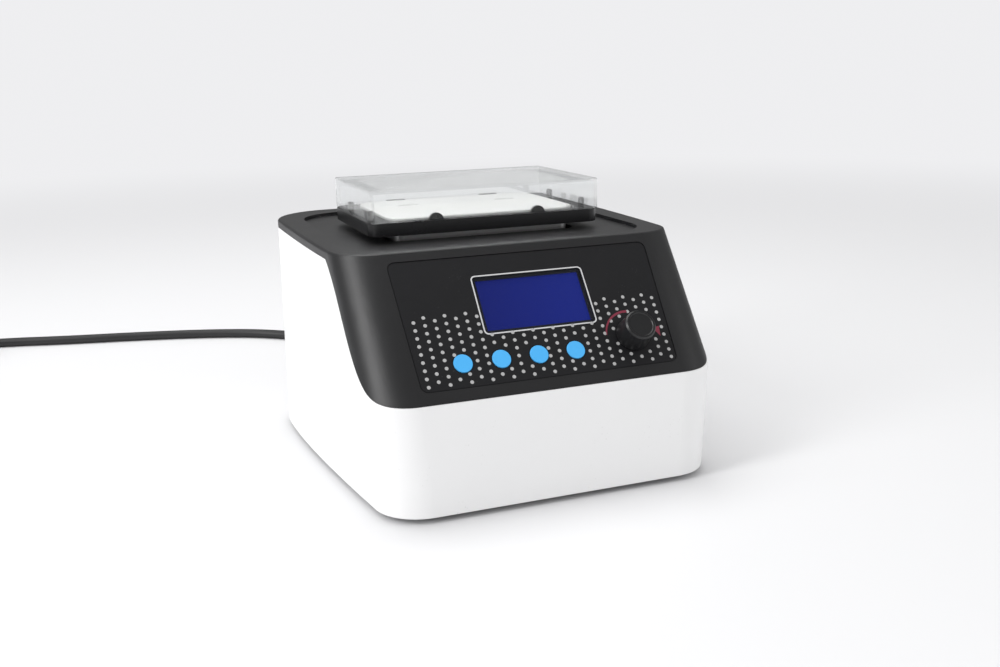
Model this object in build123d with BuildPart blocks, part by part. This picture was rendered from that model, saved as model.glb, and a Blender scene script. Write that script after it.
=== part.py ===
from build123d import *
import os
from math import atan2, cos, degrees, pi, radians, sin, sqrt, tan

os.makedirs("parts", exist_ok=True)

# Thermal mixer, in millimetres. The origin is on the table under the middle of the housing,
# the front faces -Y and +Z is up.

# Housing outline at the bottom edge, at the front seam and at the deck
housing_clearance = 3.5
seam_height = 63.5
deck_height = 133.3
base_front = -129.0
seam_front = -126.4
deck_front = -69.4
base_flat = 72.0
seam_flat = 76.5
deck_flat = 79.0
base_corner = 26.0
seam_corner = 26.0
deck_corner = 24.5
base_flare = 8.0
deck_flare = 3.0
base_half_width = 113.0
deck_half_width = 106.5
base_rear = 117.0
deck_rear = 129.0
base_rear_corner = 60.0
deck_rear_corner = 39.0

# Walls and fits
wall = 3.0
band_height = 5.0
parting_gap = 0.2
seat_gap = 0.3
running_gap = 0.05
hole_gap = 0.3
deck_edge_round = 1.6

# Deck recess and the opening under the block
recess_depth = 2.2
recess_half_width = 91.0
recess_front = -63.0
recess_rear = 110.0
recess_corner = 30.0
deck_floor = 2.8
opening_collar = 6.0

# Control panel, measured down the slope from its top edge
panel_margin = 6.2
panel_length = 76.4
panel_top_half = 77.4
panel_bottom_half = 74.0
panel_corner = 4.0
overlay_thickness = 0.5
overlay_recess = 0.3
groove_gap = 0.4

display_x = 0.4
display_down = 30.0
lens_width = 65.2
lens_height = 34.6
lens_thickness = 1.2
lens_corner = 2.4
lens_ledge = 2.0
lens_gap = 0.15
bezel_margin = 4.0
bezel_wall = 2.0
bezel_lip = 0.8

button_names = ("program", "temperature", "time", "speed")
button_diameter = 10.4
button_pitch = 21.6
button_first_x = -48.9
button_down = 62.8
button_proud = 0.5
button_travel = 0.5
button_flange = 1.3
button_flange_height = 1.0
button_stem = 4.0
button_stem_height = 1.4
key_switch_size = 6.0

knob_x = 51.5
knob_down = 58.2
knob_base_diameter = 19.2
knob_top_diameter = 17.6
knob_height = 13.0
knob_lift = 0.7
knob_bevel = 0.8
knob_rim = 1.7
knob_dish = 0.4
knob_travel = 0.5
encoder_size = 12.4
bushing_diameter = 7.6
bushing_rise = 1.5
shaft_diameter = 6.0
shaft_flat = 1.5
rotor_diameter = 9.8
rotor_height = 1.4
key_diameter = 4.0
key_flat = 1.0

board_thickness = 1.6
control_board_depth = 9.0
control_board_width = 150.0
control_board_length = 64.0
control_board_middle = 40.0
board_boss_diameter = 7.0
board_boss_x = 70.0
board_boss_reach = 27.0

# Block, plate and lid
block_y = 21.8
block_width = 146.0
block_depth = 95.6
block_height = 7.85
block_top = 143.0
block_corner = 9.0
plate_width = 120.0
plate_depth = 84.5
plate_corner = 13.0
plate_proud = 1.5
plate_seat = 4.0
thermal_window_margin = 10.0

stop_x = 32.4
stop_radius = 4.5
stop_rise = 3.85
stop_length = 2.0
microplate_depth = 85.5
microplate_play = 0.25
clip_x = 32.6
clip_width = 12.5
clip_length = 2.0
clip_rise = 2.0
guide_x = 68.2
guide_spacing = 50.0
guide_y_shift = -9.8
guide_width = 3.0
guide_length = 5.0
guide_rise = 5.3

lid_width = 144.0
lid_depth = 93.6
lid_height = 18.6
lid_wall = 1.5
lid_roof = 2.0
lid_corner = 1.6

# Moving table and drive
orbit_radius = 1.5
neck_width = 112.0
neck_depth = 76.0
neck_corner = 6.0
neck_clearance = 2.6
peltier_size = 40.0
peltier_thickness = 4.0
peltier_pitch = 46.0
thermal_base_bottom = 120.0
sink_width = 126.0
sink_depth = 88.0
sink_base = 6.0
fin_height = 14.0
fin_thickness = 1.8
fin_count = 13
fin_field_half = 46.0
table_width = 132.0
table_depth = 104.0
table_thickness = 6.0
table_bottom = 86.0
table_corner = 8.0
table_pillar_x = 56.0
table_pillar_y = 37.0
table_pillar_diameter = 10.0
drive_plate_width = 150.0
drive_plate_depth = 130.0
drive_plate_thickness = 4.0
drive_plate_top = 66.0
drive_pillar_inset = 9.0
drive_pillar_diameter = 10.0
motor_diameter = 62.0
motor_height = 28.0
shaft_radius = 6.0
bearing_radius = 12.0
bearing_height = 6.0
bearing_inset = 2.0
eccentric_disc_radius = 13.0
eccentric_disc_height = 4.0
weight_radius = 32.0
weight_height = 6.0
weight_lift = 2.0
shaft_stub = 2.0
idler_points = ((-52.0, -36.0), (52.0, -36.0), (0.0, 44.0))
idler_pin_radius = 4.0
idler_web_radius = 8.0
idler_web_height = 6.0
idler_pin_gap = 0.15

# Base plate, feet and boards
sheet = 2.0
sheet_recess = 0.5
sheet_gap = 0.4
foot_x = 75.0
foot_front_y = -108.0
foot_rear_y = 82.0
foot_radius = 11.0
foot_taper = 1.5
boss_x = 84.0
boss_front_y = -84.0
boss_rear_y = 62.0
boss_diameter = 9.0
boss_height = 44.0
screw_diameter = 3.0
screw_head_diameter = 6.0
screw_head_height = 1.6
vent_slot_length = 60.0
vent_slot_width = 4.0
vent_slot_pitch = 9.0
vent_slot_count = 6
spacer_height = 6.0
spacer_diameter = 6.0
spacer_inset = 5.0
main_board_x = 32.0
power_board_x = -46.0
boards_y = -84.0
boards_length = 58.0
main_board_width = 88.0
power_board_width = 58.0
transformer_size = 24.0
transformer_height = 20.0
capacitor_diameter = 16.0
capacitor_height = 25.0
driver_sink_height = 18.0

# Rear panel
fan_x = 31.0
fan_height = 82.0
fan_size = 50.0
fan_depth = 15.0
fan_bore = 46.0
fan_hub = 20.0
fan_blades = 7
fan_blade_thickness = 1.2
fan_blade_pitch = 42.0
fan_pin_radius = 2.0
grille_pitch = 6.0
grille_slot = 3.0
grille_rows = 7
inlet_x = -38.0
inlet_height = 40.0
inlet_cavity_width = 24.6
inlet_cavity_height = 16.6
inlet_cavity_depth = 15.0
inlet_cavity_corner = 4.0
inlet_shell = 1.6
inlet_corner = 2.0
inlet_flange_margin = 3.4
inlet_flange_thickness = 2.0
pin_width = 4.0
pin_thickness = 2.0
pin_length = 12.0
pin_pitch = 7.0
pin_earth_rise = 4.0
drawer_width = 22.0
drawer_height = 8.0
drawer_depth = 17.0
drawer_drop = 17.5
drawer_face_margin = 1.0
drawer_face = 1.4
drawer_gap = 0.15
switch_x = 0.0
switch_width = 13.0
switch_length = 19.0
switch_depth = 14.0
switch_wall = 1.4
switch_flange = 1.8
rocker_tilt = 12.0
rocker_gap = 0.3
rocker_half = 6.4
rocker_rise = 4.2
rocker_pivot = 2.4
rocker_reach = 8.0
rocker_pin_radius = 1.5

# Mains lead
cord_diameter = 7.5
connector_width = 27.0
connector_height = 19.0
connector_length = 32.0
connector_nose = 13.0
nose_gap = 0.3
relief_length = 28.0
relief_diameter = 12.0
plug_width = 26.0
plug_height = 24.0
plug_length = 38.0
plug_blade_length = 17.0
plug_blade_width = 6.3
plug_blade_thickness = 1.5
plug_blade_pitch = 12.7
plug_blade_rise = 4.0
plug_earth_diameter = 4.8
plug_earth_drop = 11.9
coil_x = -372.0
coil_y = 337.5
coil_radius = 39.5
coil_turns_wide = 3
coil_turns_high = 2


# Levels of the housing, each as height, front, flat, corner, flare, half width, rear, rear corner
def between(low, high, share):
    return tuple(a + (b - a) * share for a, b in zip(low, high))


base_level = (housing_clearance, base_front, base_flat, base_corner,
              base_flare, base_half_width, base_rear, base_rear_corner)
deck_level = (deck_height, deck_front, deck_flat, deck_corner,
              deck_flare, deck_half_width, deck_rear, deck_rear_corner)
seam_share = (seam_height - housing_clearance) / (deck_height - housing_clearance)
seam_level = (seam_height, seam_front, seam_flat, seam_corner) + between(base_level, deck_level, seam_share)[4:]


def level_at(height):
    low, high = (base_level, seam_level) if height < seam_height else (seam_level, deck_level)
    return between(low, high, (height - low[0]) / (high[0] - low[0]))


def outline(level, inset=0.0):
    height, front, flat, corner, flare, half, rear, rear_corner = level
    radius = corner - inset
    front_centre = (flat, front + corner)
    flare_start = (flat + radius * cos(radians(flare)), front + corner - radius * sin(radians(flare)))
    side = half - inset
    knee = (side, flare_start[1] + (side - flare_start[0]) / tan(radians(flare)))
    rear_start = (side, rear - rear_corner)
    rear_radius = rear_corner - inset
    rear_centre = (half - rear_corner, rear - rear_corner)
    with BuildSketch(Plane.XY.offset(height)) as plan:
        with BuildLine():
            CenterArc(front_centre, radius, -90, 90 - flare)
            Bezier(flare_start, knee, rear_start)
            CenterArc(rear_centre, rear_radius, 0, 90)
            mirror(about=Plane.YZ)
            Line((-flat, front + inset), (flat, front + inset))
            Line((inset - half + rear_radius, rear - inset), (half - inset - rear_radius, rear - inset))
        make_face()
    return plan.sketch


def housing_sections(inset, bottom, top):
    heights = [bottom] + [seam_height] * (bottom < seam_height < top) + [top]
    return [outline(level_at(h), inset) for h in heights]


# The seam between the black cover and the white housing, seen from the side
band_bottom = deck_height - band_height


def above_seam(drop):
    with BuildSketch(Plane.YZ) as region:
        with BuildLine():
            seam = Spline(
                (deck_front + 27, band_bottom - drop),
                (seam_front + 51, seam_height + 33.5 - drop),
                (seam_front + 22, seam_height + 7 - drop),
                (seam_front - wall, seam_height - drop),
                tangents=[(-1, -0.62), (-1, 0)],
            )
            Polyline(
                seam @ 1,
                (seam_front - 30, seam_height - drop),
                (seam_front - 30, deck_height + 20),
                (deck_rear + 30, deck_height + 20),
                (deck_rear + 30, band_bottom - drop),
                seam @ 0,
            )
        make_face()
    return region.sketch


# Planes of the control panel and of the rear wall, both set by their depth below the surface
slope = atan2(deck_height - seam_height, deck_front - seam_front)
lean = atan2(deck_rear - base_rear, deck_height - housing_clearance)
fascia_wall = wall * sin(slope)
rear_wall = wall * cos(lean)


def panel_plane(depth):
    return Plane(
        origin=(
            0,
            deck_front - panel_margin * cos(slope) + depth * sin(slope),
            deck_height - panel_margin * sin(slope) - depth * cos(slope),
        ),
        x_dir=(1, 0, 0),
        z_dir=(0, -sin(slope), cos(slope)),
    )


def rear_plane(x, height, depth):
    wall_y = base_rear + (height - housing_clearance) * tan(lean)
    return Plane(
        origin=(x, wall_y - depth * cos(lean), height + depth * sin(lean)),
        x_dir=(-1, 0, 0),
        z_dir=(0, cos(lean), -sin(lean)),
    )


def panel_outline(plane, extra):
    with BuildSketch(plane) as shape:
        with BuildLine():
            Polyline(
                (-panel_top_half - extra, extra),
                (panel_top_half + extra, extra),
                (panel_bottom_half + extra, -panel_length - extra),
                (-panel_bottom_half - extra, -panel_length - extra),
                close=True,
            )
        make_face()
        fillet(shape.vertices(), panel_corner + extra)
    return shape.sketch


def block_rectangle(height, width, depth, corner):
    with BuildSketch(Plane(origin=(0, block_y, height))) as shape:
        RectangleRounded(width, depth, corner)
    return shape.sketch


# White lower housing
housing_inside = housing_clearance + sheet_recess + sheet
grille_rows_at = [(row - (grille_rows - 1) / 2) * grille_pitch for row in range(grille_rows)]
boss_points = [(x, y) for x in (-boss_x, boss_x) for y in (boss_front_y, boss_rear_y)]
inlet_width = inlet_cavity_width + 2 * inlet_shell
inlet_top = inlet_cavity_height / 2 + inlet_shell
inlet_bottom = -drawer_drop - drawer_height / 2 - inlet_shell
inlet_middle = (inlet_top + inlet_bottom) / 2
inlet_length = inlet_top - inlet_bottom
with BuildPart() as lower_housing:
    loft(housing_sections(0, housing_clearance, deck_height), ruled=True)
    loft(housing_sections(wall, housing_clearance, deck_height), ruled=True, mode=Mode.SUBTRACT)
    extrude(above_seam(parting_gap), amount=2 * base_half_width, both=True, mode=Mode.SUBTRACT)
    with BuildSketch(Plane.XY.offset(housing_inside)):
        with Locations(*boss_points):
            Circle(boss_diameter / 2)
            Circle(screw_diameter / 2, mode=Mode.SUBTRACT)
    extrude(amount=boss_height)
    with BuildSketch(Plane.XY.offset(housing_inside + boss_height / 2)):
        for x, y in boss_points:
            outward = 1 if x > 0 else -1
            with Locations((x + outward * (boss_diameter / 2 + 9.2), y)):
                Rectangle(19, 2.4)
    boss_ribs = extrude(amount=boss_height / 2, mode=Mode.PRIVATE)
    add(boss_ribs & loft(housing_sections(wall / 2, housing_clearance, deck_height), ruled=True, mode=Mode.PRIVATE))
    with BuildSketch(rear_plane(fan_x, fan_height, -1)):
        for rise in grille_rows_at:
            with Locations((0, rise)):
                SlotOverall(2 * sqrt((fan_bore / 2) ** 2 - rise**2), grille_slot)
    extrude(amount=-rear_wall - 2, mode=Mode.SUBTRACT)
    with BuildSketch(rear_plane(inlet_x, inlet_height, -1)):
        with Locations((0, inlet_middle)):
            RectangleRounded(inlet_width + 2 * hole_gap, inlet_length + 2 * hole_gap, inlet_corner + hole_gap)
    extrude(amount=-rear_wall - 2, mode=Mode.SUBTRACT)
    with BuildSketch(rear_plane(switch_x, inlet_height, -1)):
        Rectangle(switch_width + 2 * hole_gap, switch_length + 2 * hole_gap)
    extrude(amount=-rear_wall - 2, mode=Mode.SUBTRACT)
lower_housing.part.label = "lower_housing"
export_step(lower_housing.part, "parts/lower_housing.step")

# Black cover: deck, sloped front and the round corners between them
opening_width = neck_width + 2 * (orbit_radius + neck_clearance)
opening_depth = neck_depth + 2 * (orbit_radius + neck_clearance)
cavity_top = deck_height - recess_depth - deck_floor
lens_depth = overlay_recess + lens_thickness
boss_reaches = [(x, -control_board_middle + y) for x in (-board_boss_x, board_boss_x)
                for y in (-board_boss_reach, board_boss_reach)]
button_xs = [button_first_x + i * button_pitch for i in range(len(button_names))]
with BuildPart() as top_cover:
    loft(housing_sections(0, housing_clearance, deck_height), ruled=True)
    fillet(top_cover.faces().sort_by(Axis.Z)[-1].edges(), deck_edge_round)
    loft(housing_sections(wall, housing_clearance, cavity_top), ruled=True, mode=Mode.SUBTRACT)
    extrude(above_seam(0), amount=2 * base_half_width, both=True, mode=Mode.INTERSECT)
    with BuildSketch(Plane.XY.offset(deck_height)):
        with Locations((0, (recess_front + recess_rear) / 2)):
            RectangleRounded(2 * recess_half_width, recess_rear - recess_front, recess_corner)
    extrude(amount=-recess_depth, mode=Mode.SUBTRACT)
    extrude(block_rectangle(cavity_top, opening_width + 4, opening_depth + 4, neck_corner + 6), amount=-opening_collar)
    extrude(block_rectangle(deck_height, opening_width, opening_depth, neck_corner + 4),
            amount=-deck_height + cavity_top - opening_collar, mode=Mode.SUBTRACT)
    with BuildSketch(panel_plane(fascia_wall)):
        with Locations(*boss_reaches):
            Circle(board_boss_diameter / 2)
    extrude(amount=fascia_wall - control_board_depth)
    extrude(panel_outline(panel_plane(-2), groove_gap), amount=-2 - overlay_recess - overlay_thickness,
            mode=Mode.SUBTRACT)
    with BuildSketch(panel_plane(-2)):
        with Locations((display_x, -display_down)):
            RectangleRounded(lens_width + 2 * lens_gap, lens_height + 2 * lens_gap, lens_corner + lens_gap)
    extrude(amount=-2 - lens_depth, mode=Mode.SUBTRACT)
    with BuildSketch(panel_plane(-2)):
        with Locations((display_x, -display_down)):
            Rectangle(lens_width - 2 * lens_ledge, lens_height - 2 * lens_ledge)
        with Locations(*[(x, -button_down) for x in button_xs]):
            Circle(button_diameter / 2 + hole_gap)
        with Locations((knob_x, -knob_down)):
            Circle(bushing_diameter / 2 + hole_gap)
    extrude(amount=-2 - control_board_depth + 1, mode=Mode.SUBTRACT)
top_cover.part.label = "top_cover"
export_step(top_cover.part, "parts/top_cover.step")

# Control panel sheet
with BuildPart() as control_overlay:
    extrude(panel_outline(panel_plane(overlay_recess), 0), amount=-overlay_thickness)
    with BuildSketch(panel_plane(overlay_recess)):
        with Locations((display_x, -display_down)):
            RectangleRounded(lens_width + 2 * lens_gap, lens_height + 2 * lens_gap, lens_corner + lens_gap)
        with Locations(*[(x, -button_down) for x in button_xs]):
            Circle(button_diameter / 2 + hole_gap)
        with Locations((knob_x, -knob_down)):
            Circle(bushing_diameter / 2 + hole_gap)
    extrude(amount=-overlay_thickness, mode=Mode.SUBTRACT)
control_overlay.part.label = "control_overlay"
export_step(control_overlay.part, "parts/control_overlay.step")

# Display window, panel and bezel, stacked on the control board
bezel_front = fascia_wall + seat_gap
with BuildPart() as display_window:
    with BuildSketch(panel_plane(lens_depth)):
        with Locations((display_x, -display_down)):
            RectangleRounded(lens_width, lens_height, lens_corner)
    extrude(amount=lens_thickness)
display_window.part.label = "display_window"
export_step(display_window.part, "parts/display_window.step")

bezel_width = lens_width + 2 * bezel_margin
bezel_height = lens_height + 2 * bezel_margin
with BuildPart() as display_bezel:
    with BuildSketch(panel_plane(control_board_depth)):
        with Locations((display_x, -display_down)):
            Rectangle(bezel_width, bezel_height)
    extrude(amount=control_board_depth - bezel_front)
    with BuildSketch(panel_plane(control_board_depth)):
        with Locations((display_x, -display_down)):
            Rectangle(bezel_width - 2 * bezel_wall, bezel_height - 2 * bezel_wall)
    extrude(amount=control_board_depth - bezel_front - bezel_lip, mode=Mode.SUBTRACT)
    with BuildSketch(panel_plane(control_board_depth)):
        with Locations((display_x, -display_down)):
            Rectangle(lens_width - lens_ledge, lens_height - lens_ledge)
    extrude(amount=control_board_depth, mode=Mode.SUBTRACT)
display_bezel.part.label = "display_bezel"
export_step(display_bezel.part, "parts/display_bezel.step")

glass_front = bezel_front + bezel_lip
glass_width = bezel_width - 2 * bezel_wall - 2 * lens_gap
glass_height = bezel_height - 2 * bezel_wall - 2 * lens_gap
with BuildPart() as display_panel:
    with BuildSketch(panel_plane(control_board_depth)):
        with Locations((display_x, -display_down)):
            Rectangle(glass_width, glass_height)
    extrude(amount=control_board_depth - glass_front)
display_panel.part.label = "display_panel"
export_step(display_panel.part, "parts/display_panel.step")

# Control board with its key switches
with BuildPart() as control_board:
    with BuildSketch(panel_plane(control_board_depth)):
        with Locations((0, -control_board_middle)):
            RectangleRounded(control_board_width, control_board_length, 2)
    extrude(amount=-board_thickness)
control_board.part.label = "control_board"
export_step(control_board.part, "parts/control_board.step")

flange_front = fascia_wall + seat_gap
stem_end = flange_front + button_flange_height + button_stem_height
switch_front = stem_end + button_travel + seat_gap
with BuildPart() as key_switches:
    with BuildSketch(panel_plane(control_board_depth)):
        with Locations(*[(x, -button_down) for x in button_xs]):
            Rectangle(key_switch_size, key_switch_size)
    extrude(amount=control_board_depth - switch_front)
key_switches.part.label = "key_switches"
export_step(key_switches.part, "parts/key_switches.step")

# Four round keys, each with a flange behind the front wall and a stem to its switch
for name, x in zip(button_names, button_xs):
    with BuildPart() as button:
        with BuildSketch(panel_plane(flange_front)):
            with Locations((x, -button_down)):
                Circle(button_diameter / 2)
        extrude(amount=flange_front - overlay_recess + button_proud)
        fillet(button.edges().filter_by(GeomType.CIRCLE).sort_by(Axis.Z)[-1], button_proud * 0.6)
        with BuildSketch(panel_plane(flange_front)):
            with Locations((x, -button_down)):
                Circle(button_diameter / 2 + button_flange)
        extrude(amount=-button_flange_height)
        with BuildSketch(panel_plane(flange_front + button_flange_height)):
            with Locations((x, -button_down)):
                Circle(button_stem / 2)
        extrude(amount=-button_stem_height)
    button.part.label = f"button_{name}"
    export_step(button.part, f"parts/button_{name}.step")

# Push encoder: body with bushing, rotor that turns in it, shaft keyed in the rotor
rotor_cavity_top = control_board_depth - 3.4
rotor_cavity_bottom = control_board_depth - 0.6
rotor_front = rotor_cavity_top + 0.2
shaft_step = rotor_front - knob_travel - 0.2
shaft_end = rotor_cavity_bottom - knob_travel - 0.3
with BuildPart() as encoder_body:
    with BuildSketch(panel_plane(control_board_depth)):
        with Locations((knob_x, -knob_down)):
            Rectangle(encoder_size, encoder_size)
    extrude(amount=control_board_depth - fascia_wall - seat_gap)
    with BuildSketch(panel_plane(fascia_wall + seat_gap)):
        with Locations((knob_x, -knob_down)):
            Circle(bushing_diameter / 2)
    extrude(amount=fascia_wall + seat_gap + bushing_rise)
    with BuildSketch(panel_plane(rotor_cavity_bottom)):
        with Locations((knob_x, -knob_down)):
            Circle(rotor_diameter / 2 + running_gap)
    extrude(amount=rotor_cavity_bottom - rotor_cavity_top, mode=Mode.SUBTRACT)
    with BuildSketch(panel_plane(rotor_cavity_bottom)):
        with Locations((knob_x, -knob_down)):
            Circle(shaft_diameter / 2 + running_gap)
    extrude(amount=rotor_cavity_bottom + bushing_rise, mode=Mode.SUBTRACT)
encoder_body.part.label = "encoder_body"
export_step(encoder_body.part, "parts/encoder_body.step")


def flatted_circle(plane, radius, flat, grow):
    with BuildSketch(plane) as shape:
        with Locations((knob_x, -knob_down)):
            Circle(radius + grow)
            with Locations((0, 2 * radius - flat + grow)):
                Rectangle(4 * radius, 2 * radius, mode=Mode.SUBTRACT)
    return shape.sketch


with BuildPart() as encoder_rotor:
    with BuildSketch(panel_plane(rotor_front)):
        with Locations((knob_x, -knob_down)):
            Circle(rotor_diameter / 2)
    extrude(amount=-rotor_height)
    extrude(flatted_circle(panel_plane(rotor_front), key_diameter / 2, key_flat, running_gap),
            amount=-rotor_height, mode=Mode.SUBTRACT)
encoder_rotor.part.label = "encoder_rotor"
export_step(encoder_rotor.part, "parts/encoder_rotor.step")

knob_bottom = -knob_lift
knob_top = -knob_lift - knob_height
shaft_top = knob_top + 3
knob_hollow = -bushing_rise - knob_travel - 1
with BuildPart() as encoder_shaft:
    extrude(flatted_circle(panel_plane(shaft_end), key_diameter / 2, key_flat, 0), amount=shaft_end - shaft_step)
    with BuildSketch(panel_plane(shaft_step)):
        with Locations((knob_x, -knob_down)):
            Circle(shaft_diameter / 2)
    extrude(amount=shaft_step - knob_hollow)
    extrude(flatted_circle(panel_plane(knob_hollow), shaft_diameter / 2, shaft_flat, 0),
            amount=knob_hollow - shaft_top)
encoder_shaft.part.label = "encoder_shaft"
export_step(encoder_shaft.part, "parts/encoder_shaft.step")

# Knob, slightly tapered, with a bevelled rim round a dished face
knob_axis_plane = Plane(
    origin=panel_plane(0).origin + panel_plane(0).x_dir * knob_x - panel_plane(0).y_dir * knob_down,
    x_dir=(1, 0, 0),
    z_dir=-panel_plane(0).y_dir,
)
with BuildPart() as knob:
    with BuildSketch(knob_axis_plane):
        with BuildLine():
            Polyline(
                (0, knob_lift),
                (knob_base_diameter / 2, knob_lift),
                (knob_top_diameter / 2, knob_lift + knob_height - knob_bevel),
                (knob_top_diameter / 2 - knob_bevel, knob_lift + knob_height),
                (knob_top_diameter / 2 - knob_rim, knob_lift + knob_height),
                (knob_top_diameter / 2 - knob_rim - knob_dish, knob_lift + knob_height - knob_dish),
                (0, knob_lift + knob_height - knob_dish),
                close=True,
            )
        make_face()
    revolve(axis=Axis(knob_axis_plane.origin, knob_axis_plane.y_dir))
    with BuildSketch(panel_plane(knob_bottom)):
        with Locations((knob_x, -knob_down)):
            Circle(bushing_diameter / 2 + 2)
    extrude(amount=knob_bottom - knob_hollow, mode=Mode.SUBTRACT)
    extrude(flatted_circle(panel_plane(knob_hollow), shaft_diameter / 2, shaft_flat, running_gap),
            amount=knob_hollow - shaft_top + seat_gap, mode=Mode.SUBTRACT)
knob.part.label = "knob"
export_step(knob.part, "parts/knob.step")

# Block frame, a tray round the plate
block_bottom = block_top - block_height
tray_floor = block_top - plate_seat
window_width = neck_width - 2 * thermal_window_margin
window_depth = neck_depth - 2 * thermal_window_margin
with BuildPart() as block_frame:
    extrude(block_rectangle(block_bottom, block_width, block_depth, block_corner), amount=block_height)
    fillet(block_frame.edges().group_by(Axis.Z)[-1], 0.6)
    extrude(block_rectangle(block_top, plate_width + 2 * seat_gap, plate_depth + 2 * seat_gap,
                            plate_corner + seat_gap), amount=-plate_seat, mode=Mode.SUBTRACT)
    extrude(block_rectangle(tray_floor, window_width + 2 * seat_gap, window_depth + 2 * seat_gap, neck_corner),
            amount=-block_height, mode=Mode.SUBTRACT)
block_frame.part.label = "block_frame"
export_step(block_frame.part, "parts/block_frame.step")

plate_top = block_top + plate_proud
with BuildPart() as block_plate:
    extrude(block_rectangle(tray_floor, plate_width, plate_depth, plate_corner), amount=plate_top - tray_floor)
    chamfer(block_plate.faces().sort_by(Axis.Z)[-1].edges(), 0.5)
block_plate.part.label = "block_plate"
export_step(block_plate.part, "parts/block_plate.step")

# Stops, clips and guides that hold a microplate
stop_centre = block_top + stop_rise - stop_radius
stop_face = block_y - (microplate_depth / 2 + microplate_play)
clip_face = block_y + microplate_depth / 2 + microplate_play
with BuildPart() as front_stops:
    with BuildSketch(Plane.XZ.offset(-stop_face)):
        with Locations((-stop_x, stop_centre), (stop_x, stop_centre)):
            Circle(stop_radius)
        with Locations((0, block_top - stop_radius)):
            Rectangle(4 * stop_x, 2 * stop_radius, mode=Mode.SUBTRACT)
    extrude(amount=stop_length)
front_stops.part.label = "front_stops"
export_step(front_stops.part, "parts/front_stops.step")

with BuildPart() as rear_clips:
    with BuildSketch(Plane.XY.offset(block_top)):
        with Locations((-clip_x, clip_face + clip_length / 2), (clip_x, clip_face + clip_length / 2)):
            Rectangle(clip_width, clip_length)
    extrude(amount=clip_rise)
    chamfer(rear_clips.edges().group_by(Axis.Z)[-1], 0.4)
rear_clips.part.label = "rear_clips"
export_step(rear_clips.part, "parts/rear_clips.step")

with BuildPart() as side_guides:
    with BuildSketch(Plane.XY.offset(block_top)):
        with Locations(*[(x, block_y + guide_y_shift / 2 + y) for x in (-guide_x, guide_x)
                         for y in (-guide_spacing / 2, guide_spacing / 2)]):
            RectangleRounded(guide_width, guide_length, guide_width / 2 - 0.1)
    extrude(amount=guide_rise)
    fillet(side_guides.edges().group_by(Axis.Z)[-1], 1.0)
side_guides.part.label = "side_guides"
export_step(side_guides.part, "parts/side_guides.step")

# Clear lid, a thin-walled box open below
with BuildPart() as clear_lid:
    extrude(block_rectangle(block_top, lid_width, lid_depth, lid_corner), amount=lid_height)
    fillet(clear_lid.edges().group_by(Axis.Z)[-1], 0.8)
    extrude(block_rectangle(block_top, lid_width - 2 * lid_wall, lid_depth - 2 * lid_wall, 0.8),
            amount=lid_height - lid_roof, mode=Mode.SUBTRACT)
clear_lid.part.label = "clear_lid"
export_step(clear_lid.part, "parts/clear_lid.step")

# Thermal base, Peltier modules and heat sink, carried by the moving table
neck_top = block_bottom
with BuildPart() as thermal_base:
    extrude(block_rectangle(thermal_base_bottom, neck_width, neck_depth, neck_corner),
            amount=neck_top - thermal_base_bottom)
    extrude(block_rectangle(neck_top, window_width, window_depth, neck_corner - seat_gap),
            amount=tray_floor - neck_top)
thermal_base.part.label = "thermal_base"
export_step(thermal_base.part, "parts/thermal_base.step")

sink_top = thermal_base_bottom - peltier_thickness
sink_bottom = sink_top - sink_base
with BuildPart() as peltier_modules:
    with BuildSketch(Plane(origin=(0, block_y, sink_top))):
        with Locations((-peltier_pitch / 2, 0), (peltier_pitch / 2, 0)):
            Rectangle(peltier_size, peltier_size)
    extrude(amount=peltier_thickness)
peltier_modules.part.label = "peltier_modules"
export_step(peltier_modules.part, "parts/peltier_modules.step")

fin_pitch = 2 * fin_field_half / (fin_count - 1)
with BuildPart() as heat_sink:
    extrude(block_rectangle(sink_bottom, sink_width, sink_depth, 2), amount=sink_base)
    with BuildSketch(Plane(origin=(0, block_y, sink_bottom))):
        with GridLocations(fin_pitch, 1, fin_count, 1):
            Rectangle(fin_thickness, sink_depth)
    extrude(amount=-fin_height)
heat_sink.part.label = "heat_sink"
export_step(heat_sink.part, "parts/heat_sink.step")

pillar_points = [(x, y) for x in (-table_pillar_x, table_pillar_x) for y in (-table_pillar_y, table_pillar_y)]
table_top = table_bottom + table_thickness
with BuildPart() as table_pillars:
    with BuildSketch(Plane(origin=(0, block_y, table_top))):
        with Locations(*pillar_points):
            Circle(table_pillar_diameter / 2)
    extrude(amount=sink_bottom - table_top)
table_pillars.part.label = "table_pillars"
export_step(table_pillars.part, "parts/table_pillars.step")

# Moving table with the eccentric's bearing in its middle and three idler holes
with BuildPart() as moving_table:
    extrude(block_rectangle(table_bottom, table_width, table_depth, table_corner), amount=table_thickness)
    with BuildSketch(Plane(origin=(0, block_y, table_top))):
        Circle(bearing_radius)
        with Locations(*idler_points):
            Circle(idler_pin_radius + idler_pin_gap)
    extrude(amount=-table_thickness, mode=Mode.SUBTRACT)
moving_table.part.label = "moving_table"
export_step(moving_table.part, "parts/moving_table.step")

with BuildPart() as table_bearing:
    with BuildSketch(Plane(origin=(0, block_y, table_bottom))):
        Circle(bearing_radius)
        Circle(shaft_radius + running_gap, mode=Mode.SUBTRACT)
    extrude(amount=table_thickness)
table_bearing.part.label = "table_bearing"
export_step(table_bearing.part, "parts/table_bearing.step")

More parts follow.
